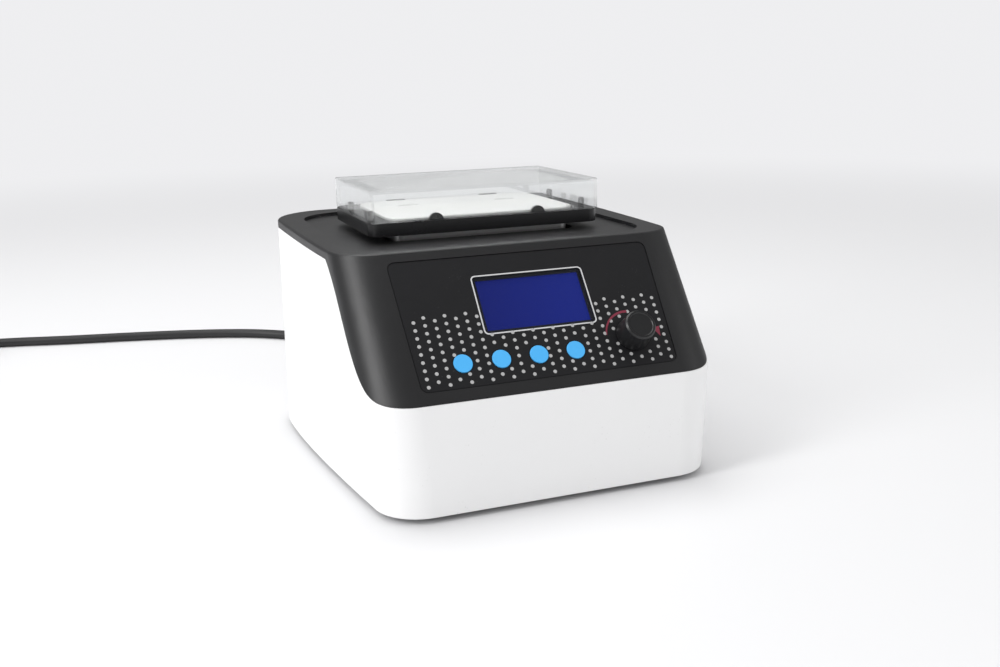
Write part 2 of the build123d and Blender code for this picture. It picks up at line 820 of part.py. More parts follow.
# Drive plate on four pillars, with the motor under it
drive_y = block_y - orbit_radius
drive_plate_bottom = drive_plate_top - drive_plate_thickness
drive_pillar_points = [
    (x, y)
    for x in (drive_pillar_inset - drive_plate_width / 2, drive_plate_width / 2 - drive_pillar_inset)
    for y in (drive_pillar_inset - drive_plate_depth / 2, drive_plate_depth / 2 - drive_pillar_inset)
]
with BuildPart() as drive_plate:
    with BuildSketch(Plane(origin=(0, drive_y, drive_plate_bottom))):
        RectangleRounded(drive_plate_width, drive_plate_depth, drive_pillar_inset)
        Circle(shaft_radius + hole_gap, mode=Mode.SUBTRACT)
        with Locations(*idler_points):
            Circle(idler_pin_radius + running_gap, mode=Mode.SUBTRACT)
    extrude(amount=drive_plate_thickness)
drive_plate.part.label = "drive_plate"
export_step(drive_plate.part, "parts/drive_plate.step")

with BuildPart() as drive_pillars:
    with BuildSketch(Plane(origin=(0, drive_y, housing_inside))):
        with Locations(*drive_pillar_points):
            Circle(drive_pillar_diameter / 2)
    extrude(amount=drive_plate_bottom - housing_inside)
drive_pillars.part.label = "drive_pillars"
export_step(drive_pillars.part, "parts/drive_pillars.step")

motor_bottom = drive_plate_bottom - motor_height
bearing_bottoms = (motor_bottom + bearing_inset, drive_plate_bottom - bearing_inset - bearing_height)
with BuildPart() as drive_motor:
    with BuildSketch(Plane(origin=(0, drive_y, motor_bottom))):
        Circle(motor_diameter / 2)
        Circle(shaft_radius + hole_gap, mode=Mode.SUBTRACT)
    extrude(amount=motor_height)
    chamfer(drive_motor.edges().filter_by(GeomType.CIRCLE).sort_by(Axis.Z)[0], 2)
    for height in bearing_bottoms:
        with BuildSketch(Plane(origin=(0, drive_y, height))):
            Circle(bearing_radius)
        extrude(amount=bearing_height, mode=Mode.SUBTRACT)
drive_motor.part.label = "drive_motor"
export_step(drive_motor.part, "parts/drive_motor.step")

with BuildPart() as motor_bearings:
    for height in bearing_bottoms:
        with BuildSketch(Plane(origin=(0, drive_y, height))):
            Circle(bearing_radius)
            Circle(shaft_radius + running_gap, mode=Mode.SUBTRACT)
        extrude(amount=bearing_height)
motor_bearings.part.label = "motor_bearings"
export_step(motor_bearings.part, "parts/motor_bearings.step")

# Eccentric shaft: the journal turns in the motor, the pin above it drives the table
weight_bottom = drive_plate_top + weight_lift
disc_bottom = weight_bottom + weight_height
disc_top = disc_bottom + eccentric_disc_height
with BuildPart() as eccentric_shaft:
    with BuildSketch(Plane(origin=(0, drive_y, motor_bottom - shaft_stub))):
        Circle(shaft_radius)
    extrude(amount=disc_bottom - motor_bottom + shaft_stub)
    with BuildSketch(Plane(origin=(0, drive_y, disc_bottom))):
        Circle(eccentric_disc_radius)
    extrude(amount=eccentric_disc_height)
    with BuildSketch(Plane(origin=(0, block_y, disc_top))):
        Circle(shaft_radius)
    extrude(amount=table_top - disc_top)
eccentric_shaft.part.label = "eccentric_shaft"
export_step(eccentric_shaft.part, "parts/eccentric_shaft.step")

with BuildPart() as counterweight:
    with BuildSketch(Plane(origin=(0, drive_y, weight_bottom))):
        Circle(weight_radius)
        with Locations((0, weight_radius)):
            Rectangle(2 * weight_radius, 2 * weight_radius, mode=Mode.SUBTRACT)
        Circle(shaft_radius + 5)
        Circle(shaft_radius + running_gap / 2, mode=Mode.SUBTRACT)
    extrude(amount=weight_height)
counterweight.part.label = "counterweight"
export_step(counterweight.part, "parts/counterweight.step")

# Three idler cranks keep the table from turning
web_bottom = drive_plate_top + seat_gap
web_top = web_bottom + idler_web_height
for name, (x, y) in zip(("left", "right", "rear"), idler_points):
    with BuildPart() as idler:
        with BuildSketch(Plane(origin=(x, drive_y + y, drive_plate_bottom))):
            Circle(idler_pin_radius)
        extrude(amount=web_bottom - drive_plate_bottom)
        with BuildSketch(Plane(origin=(x, drive_y + y + orbit_radius / 2, web_bottom))):
            SlotOverall(2 * idler_web_radius + orbit_radius, 2 * idler_web_radius, rotation=90)
        extrude(amount=idler_web_height)
        with BuildSketch(Plane(origin=(x, block_y + y, web_top))):
            Circle(idler_pin_radius)
        extrude(amount=table_top - web_top)
    idler.part.label = f"idler_{name}"
    export_step(idler.part, f"parts/idler_{name}.step")

# Base plate with air slots, screwed to the housing's bosses
sheet_bottom = housing_clearance + sheet_recess
with BuildPart() as base_plate:
    extrude(outline((sheet_bottom,) + base_level[1:], wall + sheet_gap), amount=sheet)
    with BuildSketch(Plane.XY.offset(sheet_bottom)):
        with Locations((0, drive_y)):
            with GridLocations(1, vent_slot_pitch, 1, vent_slot_count):
                SlotOverall(vent_slot_length, vent_slot_width)
        with Locations(*boss_points):
            Circle(screw_diameter / 2 + hole_gap)
    extrude(amount=sheet, mode=Mode.SUBTRACT)
base_plate.part.label = "base_plate"
export_step(base_plate.part, "parts/base_plate.step")

with BuildPart() as base_screws:
    with BuildSketch(Plane.XY.offset(sheet_bottom)):
        with Locations(*boss_points):
            Circle(screw_head_diameter / 2)
    extrude(amount=-screw_head_height)
    with BuildSketch(Plane.XY.offset(sheet_bottom)):
        with Locations(*boss_points):
            Circle(screw_diameter / 2 - running_gap)
    extrude(amount=sheet + 10)
base_screws.part.label = "base_screws"
export_step(base_screws.part, "parts/base_screws.step")

with BuildPart() as rubber_feet:
    for x, y in [(x, y) for x in (-foot_x, foot_x) for y in (foot_front_y, foot_rear_y)]:
        with BuildSketch(Plane.XY):
            with Locations((x, y)):
                Circle(foot_radius - foot_taper)
        with BuildSketch(Plane.XY.offset(sheet_bottom)):
            with Locations((x, y)):
                Circle(foot_radius)
        loft()
rubber_feet.part.label = "rubber_feet"
export_step(rubber_feet.part, "parts/rubber_feet.step")

# Boards on spacers at the front of the base plate
board_bottom = housing_inside + spacer_height
board_top = board_bottom + board_thickness
boards = (("main_board", main_board_x, main_board_width), ("power_board", power_board_x, power_board_width))
with BuildPart() as board_spacers:
    with BuildSketch(Plane.XY.offset(housing_inside)):
        for name, x, width in boards:
            with Locations((x, boards_y)):
                with GridLocations(width - 2 * spacer_inset, boards_length - 2 * spacer_inset, 2, 2):
                    Circle(spacer_diameter / 2)
    extrude(amount=spacer_height)
board_spacers.part.label = "board_spacers"
export_step(board_spacers.part, "parts/board_spacers.step")

for name, x, width in boards:
    with BuildPart() as board:
        with BuildSketch(Plane.XY.offset(board_bottom)):
            with Locations((x, boards_y)):
                Rectangle(width, boards_length)
        extrude(amount=board_thickness)
    board.part.label = name
    export_step(board.part, f"parts/{name}.step")

with BuildPart() as power_transformer:
    with BuildSketch(Plane.XY.offset(board_top)):
        with Locations((power_board_x - power_board_width / 4, boards_y)):
            Rectangle(transformer_size, transformer_size * 1.2)
    extrude(amount=transformer_height)
    chamfer(power_transformer.edges().filter_by(Axis.Z), 2)
power_transformer.part.label = "power_transformer"
export_step(power_transformer.part, "parts/power_transformer.step")

with BuildPart() as power_capacitors:
    with BuildSketch(Plane.XY.offset(board_top)):
        with Locations((power_board_x + power_board_width / 4, boards_y)):
            with GridLocations(1, capacitor_diameter + 6, 1, 2):
                Circle(capacitor_diameter / 2)
    extrude(amount=capacitor_height)
power_capacitors.part.label = "power_capacitors"
export_step(power_capacitors.part, "parts/power_capacitors.step")

with BuildPart() as driver_heat_sink:
    with BuildSketch(Plane.XY.offset(board_top)):
        with Locations((main_board_x, boards_y + boards_length / 4)):
            Rectangle(main_board_width * 0.6, 3)
            with GridLocations(main_board_width * 0.6 / 8, 1, 8, 1):
                with Locations((0, -4.5)):
                    Rectangle(1.6, 9)
    extrude(amount=driver_sink_height)
driver_heat_sink.part.label = "driver_heat_sink"
export_step(driver_heat_sink.part, "parts/driver_heat_sink.step")

# Fan behind the grille: frame with a hub carried by four struts, and a seven-bladed rotor
fan_outer = rear_wall
fan_inner = rear_wall + fan_depth
hub_depth = 4.0
with BuildPart() as fan_frame:
    with BuildSketch(rear_plane(fan_x, fan_height, fan_outer)):
        RectangleRounded(fan_size, fan_size, 3)
        Circle(fan_bore / 2, mode=Mode.SUBTRACT)
        with GridLocations(fan_size - 7, fan_size - 7, 2, 2):
            Circle(1.6, mode=Mode.SUBTRACT)
    extrude(amount=-fan_depth)
    with BuildSketch(rear_plane(fan_x, fan_height, fan_inner)):
        Circle(fan_hub / 2)
        Rectangle(fan_bore + 2, 2.4)
        Rectangle(2.4, fan_bore + 2)
    extrude(amount=hub_depth)
    with BuildSketch(rear_plane(fan_x, fan_height, fan_inner)):
        Circle(fan_pin_radius + running_gap)
    extrude(amount=hub_depth, mode=Mode.SUBTRACT)
fan_frame.part.label = "fan_frame"
export_step(fan_frame.part, "parts/fan_frame.step")

rotor_back = fan_inner - hub_depth - seat_gap
rotor_face = fan_outer + 1.0
blade_reach = fan_bore / 2 - 1.0
blade_middle = rear_plane(fan_x, fan_height, (rotor_back + rotor_face) / 2)
with BuildPart() as fan_rotor:
    with BuildSketch(rear_plane(fan_x, fan_height, rotor_back)):
        Circle(fan_hub / 2)
    extrude(amount=rotor_back - rotor_face)
    for blade in range(fan_blades):
        turn = 2 * pi * blade / fan_blades
        outward = blade_middle.x_dir * cos(turn) + blade_middle.y_dir * sin(turn)
        root = blade_middle.origin + outward * (fan_hub / 2 - 1)
        with BuildSketch(Plane(origin=root, x_dir=blade_middle.z_dir.cross(outward), z_dir=outward)):
            Rectangle(rotor_back - rotor_face, fan_blade_thickness, rotation=fan_blade_pitch)
        extrude(amount=blade_reach - fan_hub / 2 + 1)
    with BuildSketch(rear_plane(fan_x, fan_height, rotor_back)):
        Circle(fan_pin_radius)
    extrude(amount=-hub_depth)
fan_rotor.part.label = "fan_rotor"
export_step(fan_rotor.part, "parts/fan_rotor.step")

# Mains inlet with its fuse drawer below the socket
socket_floor = inlet_cavity_depth - inlet_flange_thickness
flange_face = -inlet_flange_thickness


def socket_outline(depth, shrink):
    with BuildSketch(rear_plane(inlet_x, inlet_height, depth)) as shape:
        Rectangle(inlet_cavity_width - 2 * shrink, inlet_cavity_height - 2 * shrink)
        chamfer(shape.vertices().group_by(Axis.Y)[-1], inlet_cavity_corner)
    return shape.sketch


with BuildPart() as power_inlet:
    with BuildSketch(rear_plane(inlet_x, inlet_height, flange_face)):
        with Locations((0, inlet_middle)):
            RectangleRounded(inlet_width + 2 * inlet_flange_margin, inlet_length + 2 * inlet_flange_margin, 3)
    extrude(amount=-inlet_flange_thickness)
    with BuildSketch(rear_plane(inlet_x, inlet_height, 0)):
        with Locations((0, inlet_middle)):
            RectangleRounded(inlet_width, inlet_length, inlet_corner)
    extrude(amount=-drawer_depth - inlet_shell)
    extrude(socket_outline(flange_face, 0), amount=-inlet_cavity_depth, mode=Mode.SUBTRACT)
    with BuildSketch(rear_plane(inlet_x, inlet_height, flange_face)):
        with Locations((0, -drawer_drop)):
            Rectangle(drawer_width, drawer_height)
    extrude(amount=-drawer_depth - inlet_flange_thickness, mode=Mode.SUBTRACT)
power_inlet.part.label = "power_inlet"
export_step(power_inlet.part, "parts/power_inlet.step")


def pin_outlines(depth, grow):
    with BuildSketch(rear_plane(inlet_x, inlet_height, depth)) as shape:
        with Locations((-pin_pitch, 0), (0, pin_earth_rise), (pin_pitch, 0)):
            Rectangle(pin_thickness + 2 * grow, pin_width + 2 * grow)
    return shape.sketch


with BuildPart() as inlet_pins:
    extrude(pin_outlines(socket_floor, 0), amount=pin_length)
inlet_pins.part.label = "inlet_pins"
export_step(inlet_pins.part, "parts/inlet_pins.step")

drawer_end = drawer_depth - seat_gap
with BuildPart() as fuse_drawer:
    with BuildSketch(rear_plane(inlet_x, inlet_height, flange_face)):
        with Locations((0, -drawer_drop)):
            Rectangle(drawer_width - 2 * drawer_gap, drawer_height - 2 * drawer_gap)
    extrude(amount=flange_face - drawer_end)
    with BuildSketch(rear_plane(inlet_x, inlet_height, flange_face)):
        with Locations((0, -drawer_drop)):
            Rectangle(drawer_width + 2 * drawer_face_margin, drawer_height + 2 * drawer_face_margin)
            with Locations((0, drawer_height / 2 + drawer_face_margin)):
                Rectangle(drawer_width / 3, drawer_face_margin, mode=Mode.SUBTRACT)
    extrude(amount=drawer_face)
    with BuildSketch(rear_plane(inlet_x, inlet_height, inlet_shell)):
        with Locations((0, -drawer_drop + drawer_face)):
            Rectangle(drawer_width - 2 * drawer_gap - 2 * drawer_face, drawer_height - 2 * drawer_gap)
    extrude(amount=inlet_shell + drawer_face - drawer_end, mode=Mode.SUBTRACT)
fuse_drawer.part.label = "fuse_drawer"
export_step(fuse_drawer.part, "parts/fuse_drawer.step")

# Rocker switch: the rocker turns on two short pins in the sides of its frame
rocker_depth = rocker_pivot - switch_flange
with BuildPart() as switch_frame:
    with BuildSketch(rear_plane(switch_x, inlet_height, -switch_flange)):
        RectangleRounded(switch_width + 2 * switch_flange, switch_length + 2 * switch_flange, 1)
    extrude(amount=-switch_flange)
    with BuildSketch(rear_plane(switch_x, inlet_height, 0)):
        Rectangle(switch_width, switch_length)
    extrude(amount=-switch_depth)
    with BuildSketch(rear_plane(switch_x, inlet_height, -switch_flange)):
        Rectangle(switch_width - 2 * switch_wall, switch_length - 2 * switch_wall)
    extrude(amount=-rocker_pivot - rocker_reach, mode=Mode.SUBTRACT)
    with BuildSketch(Plane(origin=rear_plane(switch_x, inlet_height, rocker_depth).origin, z_dir=(1, 0, 0))):
        Circle(rocker_pin_radius + running_gap)
    extrude(amount=switch_width / 2 - switch_wall / 2, both=True, mode=Mode.SUBTRACT)
switch_frame.part.label = "switch_frame"
export_step(switch_frame.part, "parts/switch_frame.step")

pivot_plane = rear_plane(switch_x, inlet_height, rocker_depth)
rocker_side = Plane(
    origin=pivot_plane.origin,
    x_dir=pivot_plane.y_dir * cos(radians(rocker_tilt)) + pivot_plane.z_dir * sin(radians(rocker_tilt)),
    z_dir=(1, 0, 0),
)
rocker_dip = rocker_rise - rocker_half * tan(radians(rocker_tilt))
with BuildPart() as power_rocker:
    with BuildSketch(rocker_side):
        with BuildLine():
            Polyline(
                (-rocker_half, -rocker_rise),
                (0, -rocker_dip),
                (rocker_half, -rocker_rise),
                (rocker_half * 0.7, rocker_half * 0.4),
                (-rocker_half * 0.7, rocker_half * 0.4),
                close=True,
            )
        make_face()
    extrude(amount=switch_width / 2 - switch_wall - rocker_gap, both=True)
    with BuildSketch(rocker_side):
        Circle(rocker_pin_radius)
    extrude(amount=switch_width / 2 - switch_wall / 2 - running_gap, both=True)
power_rocker.part.label = "power_rocker"
export_step(power_rocker.part, "parts/power_rocker.step")

# Connector of the mains lead, with a nose in the socket and a tapered strain relief
connector_front = flange_face - seat_gap
connector_back = connector_front - connector_length
relief_end = connector_back - relief_length
with BuildPart() as cord_connector:
    extrude(socket_outline(connector_front, nose_gap), amount=-connector_nose)
    extrude(pin_outlines(connector_front - connector_nose / 10, nose_gap), amount=-2 * connector_nose,
            mode=Mode.SUBTRACT)
    with BuildSketch(rear_plane(inlet_x, inlet_height, connector_front)):
        RectangleRounded(connector_width, connector_height, 4)
    extrude(amount=connector_length * 0.45)
    with BuildSketch(rear_plane(inlet_x, inlet_height, connector_front - connector_length * 0.45)):
        RectangleRounded(connector_width, connector_height, 4)
    with BuildSketch(rear_plane(inlet_x, inlet_height, connector_back)):
        RectangleRounded(relief_diameter + 4, relief_diameter + 2, 4)
    loft()
    with BuildSketch(rear_plane(inlet_x, inlet_height, connector_back)):
        Circle(relief_diameter / 2)
    with BuildSketch(rear_plane(inlet_x, inlet_height, relief_end)):
        Circle(cord_diameter / 2 + 0.8)
    loft()
cord_connector.part.label = "cord_connector"
export_step(cord_connector.part, "parts/cord_connector.step")

# Mains lead: from the connector down to the table, along it to a coil, and on to the plug
cord_exit = rear_plane(inlet_x, inlet_height, relief_end)
table_line = cord_diameter / 2
coil_outer_turn = coil_radius + cord_diameter * (coil_turns_wide - 1) / 2
coil_height = cord_diameter * coil_turns_high
plug_axis = plug_height / 2
lead_points = (
    cord_exit.origin,
    cord_exit.origin + cord_exit.z_dir * 32,
    Vector(-42, 247, 12),
    Vector(-53, 276, table_line),
    Vector(-77, 298, table_line),
    Vector(-102, 316, table_line),
    Vector(-145, 334, table_line),
    Vector(-200, 349, table_line),
    Vector(-255, 361, table_line),
    Vector(-308, 377, table_line),
    Vector(coil_x + 0.147 * coil_outer_turn, coil_y + 0.989 * coil_outer_turn, table_line),
)
tail_points = (
    Vector(coil_x - coil_outer_turn, coil_y, coil_height - table_line),
    Vector(coil_x - coil_outer_turn, coil_y - 26, plug_axis),
    Vector(coil_x - coil_outer_turn + 6, coil_y - 50, plug_axis),
)


def bend_radii(points):
    radii = []
    for before, here, after in zip(points, points[1:], points[2:]):
        turn = radians((here - before).get_angle(after - here))
        radii.append(0.45 * min((here - before).length, (after - here).length) / tan(turn / 2))
    return radii


for name, points in (("power_cord", lead_points), ("cord_tail", tail_points)):
    with BuildPart() as cord:
        with BuildLine() as cord_line:
            FilletPolyline(*points, radius=bend_radii(points))
        with BuildSketch(Plane(origin=points[0], z_dir=points[1] - points[0])):
            Circle(cord_diameter / 2)
        sweep()
    cord.part.label = name
    export_step(cord.part, f"parts/{name}.step")
    print(name, "length", round(cord_line.wire().length, 1), "radii", [round(r, 1) for r in bend_radii(points)])
    print(name, "volume", round(cord.part.volume, 1), "of", round(cord_line.wire().length * pi * table_line**2, 1))

with BuildPart() as cord_coil:
    with BuildSketch(Plane(origin=(coil_x, coil_y, 0))):
        Circle(coil_outer_turn + table_line)
        Circle(2 * coil_radius - coil_outer_turn - table_line, mode=Mode.SUBTRACT)
    extrude(amount=coil_height)
    fillet(cord_coil.edges().filter_by(GeomType.CIRCLE), table_line - 0.1)
cord_coil.part.label = "cord_coil"
export_step(cord_coil.part, "parts/cord_coil.step")

# Mains plug with two blades and an earth pin
tail_run = tail_points[2] - tail_points[1]
plug_out = Vector(tail_run.X, tail_run.Y, 0).normalized()


def plug_plane(distance):
    return Plane(origin=tail_points[2] + plug_out * distance, x_dir=(-plug_out.Y, plug_out.X, 0), z_dir=plug_out)


plug_front = relief_length + plug_length
with BuildPart() as mains_plug:
    with BuildSketch(plug_plane(0)):
        Circle(cord_diameter / 2 + 0.8)
    with BuildSketch(plug_plane(relief_length)):
        Circle(relief_diameter / 2)
    loft()
    with BuildSketch(plug_plane(relief_length)):
        RectangleRounded(relief_diameter + 3, relief_diameter + 3, 5)
    with BuildSketch(plug_plane(relief_length + plug_length * 0.6)):
        RectangleRounded(plug_width, plug_height, 6)
    loft()
    with BuildSketch(plug_plane(relief_length + plug_length * 0.6)):
        RectangleRounded(plug_width, plug_height, 6)
    extrude(amount=plug_length * 0.4)
    chamfer(mains_plug.faces().sort_by(Axis.Y)[0].edges(), 0.8)
mains_plug.part.label = "mains_plug"
export_step(mains_plug.part, "parts/mains_plug.step")

with BuildPart() as plug_pins:
    with BuildSketch(plug_plane(plug_front)):
        with Locations((-plug_blade_pitch / 2, plug_blade_rise), (plug_blade_pitch / 2, plug_blade_rise)):
            Rectangle(plug_blade_thickness, plug_blade_width)
        with Locations((0, plug_blade_rise - plug_earth_drop)):
            Circle(plug_earth_diameter / 2)
    extrude(amount=plug_blade_length)
plug_pins.part.label = "plug_pins"
export_step(plug_pins.part, "parts/plug_pins.step")
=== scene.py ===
import bmesh
import bpy
from math import atan2, cos, pi, radians, sin
from mathutils import Matrix, Vector


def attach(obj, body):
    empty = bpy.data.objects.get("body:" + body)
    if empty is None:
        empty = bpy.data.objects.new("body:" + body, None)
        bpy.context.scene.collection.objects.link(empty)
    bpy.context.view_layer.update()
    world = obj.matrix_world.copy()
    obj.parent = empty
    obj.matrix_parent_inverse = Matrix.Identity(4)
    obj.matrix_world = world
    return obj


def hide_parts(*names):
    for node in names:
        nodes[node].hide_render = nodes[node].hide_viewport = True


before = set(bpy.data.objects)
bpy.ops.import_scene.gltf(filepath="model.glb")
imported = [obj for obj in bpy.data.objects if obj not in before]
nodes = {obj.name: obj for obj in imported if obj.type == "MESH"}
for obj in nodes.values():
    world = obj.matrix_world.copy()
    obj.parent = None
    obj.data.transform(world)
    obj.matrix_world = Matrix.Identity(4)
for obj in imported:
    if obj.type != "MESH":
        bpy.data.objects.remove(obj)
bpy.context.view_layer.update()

MM = 0.001


def add_object(name, data):
    made = bpy.data.objects.new(name, data)
    bpy.context.scene.collection.objects.link(made)
    return made


def add_mesh(name, mesh):
    data = bpy.data.meshes.new(name)
    mesh.to_mesh(data)
    mesh.free()
    return add_object(name, data)


def quarter(first, steps=6):
    """The angles along a rounded corner, which turns 90 degrees on from the first."""
    return [radians(first + 90 * i / steps) for i in range(steps + 1)]


# The camera stands where the photograph was taken from
CAMERA_PLACE = (-221.26, -623.96, 232.23)
CAMERA_RIGHT = (0.93335572, -0.35840377, -0.01984507)
CAMERA_UP = (0.10610242, 0.22265198, 0.969107)
CAMERA_BACK = (-0.34291306, -0.90662717, 0.24584101)


def place_camera():
    data = bpy.data.cameras.new("bench_camera")
    data.sensor_width = 36.0
    data.lens = 38.6
    data.clip_start = 0.05
    turn = Matrix((CAMERA_RIGHT, CAMERA_UP, CAMERA_BACK)).transposed().to_4x4()
    camera = add_object("bench_camera", data)
    camera.matrix_world = Matrix.Translation(Vector(CAMERA_PLACE) * MM) @ turn
    bpy.context.scene.camera = camera


place_camera()

# Mains lead: out of the connector, down to the table, along it, into its coil and on to the plug
LEAD = 7.5
LOW, HIGH = LEAD / 2, LEAD / 2 + LEAD
COIL = (-372.0, 337.5)
COIL_ENTRY = (0.147, 0.989)
OUTER_TURN, MIDDLE_TURN, INNER_TURN = 47.0, 39.5, 32.0
TURN_RADII = (OUTER_TURN, MIDDLE_TURN, INNER_TURN, INNER_TURN, MIDDLE_TURN, OUTER_TURN, OUTER_TURN)
CLIMBING_TURN, CROSSING_TURN = 2, 3
POINTS_PER_TURN = 18
# A turn keeps its radius for the first share of its way and changes it over the other
STEADY, CHANGING = 0.72, 0.28
HUMP = 2.8
# How much the line follows each of its points, where the two beside it share the rest
OWN_PULL = 0.75
LEAD_ROUTE = [
    (-38, 182.41, 34.27), (-38, 214.27, 31.32), (-42, 247, 12), (-53, 276, LOW), (-77, 298, LOW),
    (-102, 316, LOW), (-145, 334, LOW), (-200, 349, LOW), (-255, 361, LOW), (-308, 377, LOW),
]
TAIL_ROUTE = [(COIL[0] - OUTER_TURN, 311.5, 12), (COIL[0] - OUTER_TURN + 6, 287.5, 12)]


def ease(share):
    share = min(max(share, 0.0), 1.0)
    return share * share * (3 - 2 * share)


def coil_route():
    """Three turns wide and two high: inwards on the table, then outwards on top of them."""
    start = atan2(COIL_ENTRY[1], COIL_ENTRY[0])
    turns = len(TURN_RADII) - 2 + (pi - start) / (2 * pi)
    count = int(turns * POINTS_PER_TURN)
    drawn_in = OWN_PULL + (1 - OWN_PULL) * cos(2 * pi / POINTS_PER_TURN)
    points = []
    for i in range(1, count + 1):
        turned = turns * i / count
        turn = int(turned)
        over = ease((turned - turn - STEADY) / CHANGING)
        radius = TURN_RADII[turn] + (TURN_RADII[turn + 1] - TURN_RADII[turn]) * over
        height = LOW if turn < CLIMBING_TURN else HIGH
        if turn == CLIMBING_TURN:
            height = LOW + (HIGH - LOW) * over
        if turn == CROSSING_TURN:
            height = HIGH + HUMP * sin(pi * over)
        angle = start + 2 * pi * turned
        reach = radius / drawn_in
        points.append((COIL[0] + reach * cos(angle), COIL[1] + reach * sin(angle), height))
    return points


def lay_lead():
    route = LEAD_ROUTE + coil_route() + TAIL_ROUTE
    data = bpy.data.curves.new("mains_lead", "CURVE")
    data.dimensions = "3D"
    # One metre, so that the radius at each point is the lead's own
    data.bevel_depth = 1.0
    data.bevel_resolution = 5
    data.resolution_u = 6
    data.use_fill_caps = True
    line = data.splines.new("NURBS")
    line.points.add(len(route) - 1)
    for point, place in zip(line.points, route):
        point.co = (place[0] * MM, place[1] * MM, place[2] * MM, 1)
        point.radius = LEAD / 2 * MM
    line.order_u = 3
    line.use_endpoint_u = True
    return add_object("mains_lead", data)


TIE_ANGLE = radians(130)
TIE_WIDTH, TIE_THICKNESS, TIE_CORNER = 9.0, 1.0, 3.5


def wrap_tie():
    """A flat strap closed round all the turns of the coil."""
    inner = INNER_TURN - LEAD / 2 - TIE_THICKNESS + TIE_CORNER
    outer = OUTER_TURN + LEAD / 2 + TIE_THICKNESS - TIE_CORNER
    top = 2 * LEAD + TIE_THICKNESS - TIE_CORNER
    corners = ((outer, top, 0), (inner, top, 90), (inner, TIE_CORNER, 180), (outer, TIE_CORNER, 270))
    middle = Vector((*COIL, 0))
    along = Vector((cos(TIE_ANGLE), sin(TIE_ANGLE), 0))
    aside = Vector((-sin(TIE_ANGLE), cos(TIE_ANGLE), 0)) * TIE_WIDTH / 2
    mesh = bmesh.new()
    sections = []
    for reach, height, first in corners:
        for angle in quarter(first):
            outside, inside = (
                Vector((reach + radius * cos(angle), height + radius * sin(angle)))
                for radius in (TIE_CORNER, TIE_CORNER - TIE_THICKNESS)
            )
            sections.append([
                mesh.verts.new((middle + along * ring.x + aside * side + Vector((0, 0, ring.y))) * MM)
                for ring, side in ((outside, -1), (outside, 1), (inside, 1), (inside, -1))
            ])
    for here, ahead in zip(sections, sections[1:] + sections[:1]):
        for i in range(4):
            j = (i + 1) % 4
            mesh.faces.new((here[i], here[j], ahead[j], ahead[i]))
    bmesh.ops.recalc_face_normals(mesh, faces=mesh.faces)
    return add_mesh("coil_tie", mesh)


mains_lead = lay_lead()
coil_tie = wrap_tie()
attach(coil_tie, "housing")
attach(mains_lead, "housing")
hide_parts("power_cord", "cord_coil", "cord_tail")


class Field:
    """A number, colour or direction over a surface, carried by a socket."""

    def __init__(self, finish, socket):
        self.finish, self.socket = finish, socket

    def _with(self, operation, *values):
        return self.finish.node("ShaderNodeMath", {"operation": operation}, dict(enumerate(values)))

    def __add__(self, other):
        return self._with("ADD", self, other)

    __radd__ = __add__

    def __sub__(self, other):
        return self._with("SUBTRACT", self, other)

    def __rsub__(self, other):
        return self._with("SUBTRACT", other, self)

    def __mul__(self, other):
        return self._with("MULTIPLY", self, other)

    __rmul__ = __mul__

    def most(self, other):
        return self._with("MAXIMUM", self, other)

    def above(self, edge, width):
        """0 below the edge, 1 above it, with a soft step of that width."""
        return self.finish.node(
            "ShaderNodeMapRange",
            {"interpolation_type": "SMOOTHSTEP"},
            {"Value": self, "From Min": edge - width / 2, "From Max": edge + width / 2},
        )


class Finish:
    """The nodes of one of the instrument's surfaces, or of the room round it."""

    def __init__(self, name, kept_in=bpy.data.materials):
        self.owner = kept_in.new(name)
        self.owner.use_nodes = True
        self.tree = self.owner.node_tree
        self.tree.nodes.clear()

    def node(self, kind, settings=None, sockets=None, out=0):
        made = self.tree.nodes.new(kind)
        for key, value in (settings or {}).items():
            setattr(made, key, value)
        for key, value in (sockets or {}).items():
            if isinstance(value, Field):
                self.tree.links.new(value.socket, made.inputs[key])
            else:
                made.inputs[key].default_value = value
        return Field(self, made.outputs[out]) if len(made.outputs) else None

    def where(self):
        return self.node("ShaderNodeTexCoord", out="Object")

    def axis(self, which):
        return self.node("ShaderNodeSeparateXYZ", None, {0: self.where()}, out=which)

    def noise(self, scale, detail=2.0, rough=0.5, place=None):
        return self.node(
            "ShaderNodeTexNoise",
            None,
            {"Vector": place or self.where(), "Scale": scale, "Detail": detail, "Roughness": rough},
        )

    def cells(self, scale):
        return self.node(
            "ShaderNodeTexVoronoi",
            {"feature": "F1"},
            {"Vector": self.where(), "Scale": scale},
        )

    def blend(self, share, first, second):
        """A colour between two colours."""
        return self.node(
            "ShaderNodeMix",
            {"data_type": "RGBA"},
            {"Factor": share, 6: self.colour(first), 7: self.colour(second)},
            out=2,
        )

    def mixed(self, share, first, second):
        """A shader between two shaders."""
        return self.node("ShaderNodeMixShader", None, {0: share, 1: first, 2: second})

    @staticmethod
    def colour(value):
        return value if isinstance(value, Field) else (*value, 1.0)

    def raised(self, height, depth, strength):
        return self.node("ShaderNodeBump", None, {"Height": height, "Distance": depth, "Strength": strength})

    def body(self, colour, rough, **more):
        sockets = {"Base Color": self.colour(colour), "Roughness": rough}
        sockets.update({key.replace("_", " "): value for key, value in more.items()})
        return self.node("ShaderNodeBsdfPrincipled", None, sockets)

    def done(self, shader):
        self.node("ShaderNodeOutputMaterial", None, {"Surface": shader})
        return self.owner


def uneven(least, spread, over):
    """A roughness that grows from the least by up to the spread, as the pattern under it does."""
    return least + over * spread


def darker(colour, share):
    return tuple(c * share for c in colour)


